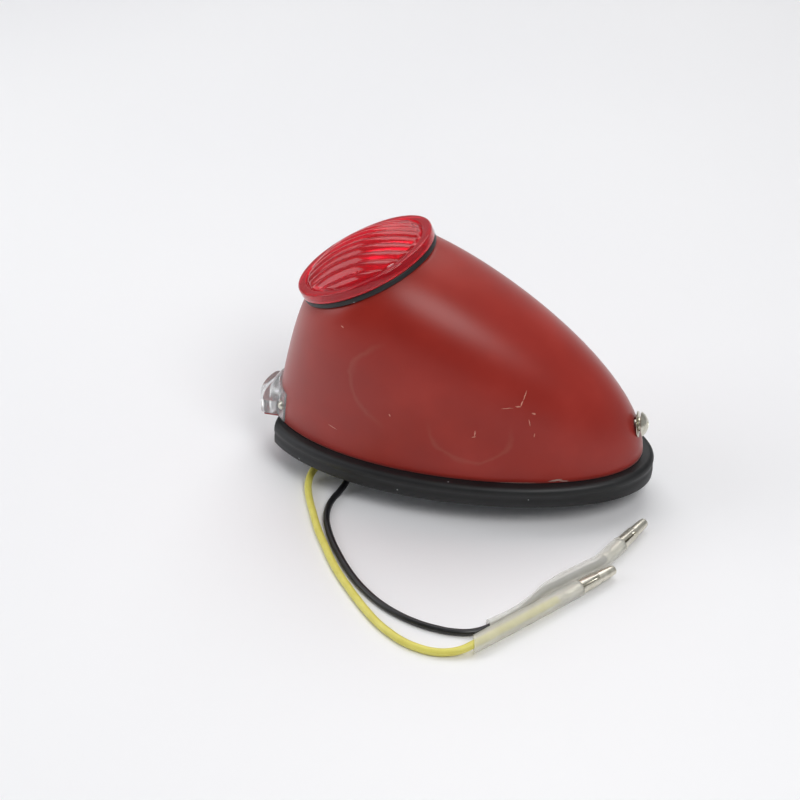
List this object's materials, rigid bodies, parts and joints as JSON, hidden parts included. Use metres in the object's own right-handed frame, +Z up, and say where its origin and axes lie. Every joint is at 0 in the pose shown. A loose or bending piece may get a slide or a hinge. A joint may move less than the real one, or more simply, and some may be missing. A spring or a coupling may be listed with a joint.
{
  "type": "motorcycle fender tail light",
  "caption": "Teardrop steel tail light for a motorcycle fender, with a ribbed red twist-in lens, a clear number plate window, a rubber base gasket, mounting studs and two leads.",
  "frame": {"origin": "middle of the lamp's footprint, on the surface that the stud tips stand on", "axes": "+Z up out of the fender, +X along the lamp towards its narrow tail, -X towards the blunt end with the lens and the number plate window"},
  "size_m": [0.1747, 0.1678, 0.113],
  "materials": {
    "primer": "satin",
    "red_lens": "gloss",
    "black_rubber": "matt",
    "clear_plastic": "gloss",
    "zinc": "satin",
    "nickel": "gloss",
    "brass": "satin",
    "brown_board": "matt",
    "glass": "gloss",
    "solder": "matt",
    "yellow_pvc": "satin",
    "black_pvc": "satin",
    "tin": "gloss",
    "milky_sleeve": "satin"
  },
  "bodies": {
    "lamp": {"shell": "primer", "lens_gasket": "black_rubber", "plate_window": "clear_plastic", "window_rivets": "zinc", "base_gasket": "black_rubber", "base_plate": "zinc", "mounting_studs": "zinc", "stud_washers": "zinc", "screw_bracket": "zinc", "captive_nut": "zinc", "shell_screw": "nickel", "screw_washer": "nickel", "bulb_bracket": "zinc", "bracket_rivets": "zinc", "bulb_holder": "brass", "holder_insulator": "brown_board", "contact_spring": "zinc", "lead_grommet": "black_rubber", "inner_yellow_lead": "yellow_pvc", "inner_black_lead": "black_pvc", "earth_tag": "tin", "earth_screw": "zinc", "yellow_lead": "yellow_pvc", "black_lead": "black_pvc", "yellow_sleeve": "milky_sleeve", "black_sleeve": "milky_sleeve", "yellow_bullet": "tin", "black_bullet": "tin"},
    "lens_cap": {"lens": "red_lens"},
    "bulb": {"bulb_cap": "brass", "bulb_glass": "glass", "bulb_filament": "zinc", "bulb_contact": "solder"},
    "plunger": {"contact_plunger": "brass"}
  },
  "joints": [
    {"name": "lens_turn", "type": "hinge", "parent": "lamp", "child": "lens_cap", "pos_m": [-0.0392, 0, 0.0961], "axis": [-0.4493, 0, 0.8934], "range_deg": [0, 35]},
    {"name": "bulb_push", "type": "slide", "parent": "lamp", "child": "bulb", "axis": [0, 0, -1], "range_m": [0, 0.002], "stiffness_N_per_m": 1500, "springref_m": -0.002},
    {"name": "plunger_slide", "type": "slide", "parent": "lamp", "child": "plunger", "axis": [0, 0, -1], "range_m": [0, 0.002], "deforming": ["contact_spring"]}
  ],
  "couplings": [
    {"joint": "plunger_slide", "follows": "bulb_push", "ratio": 1}
  ]
}
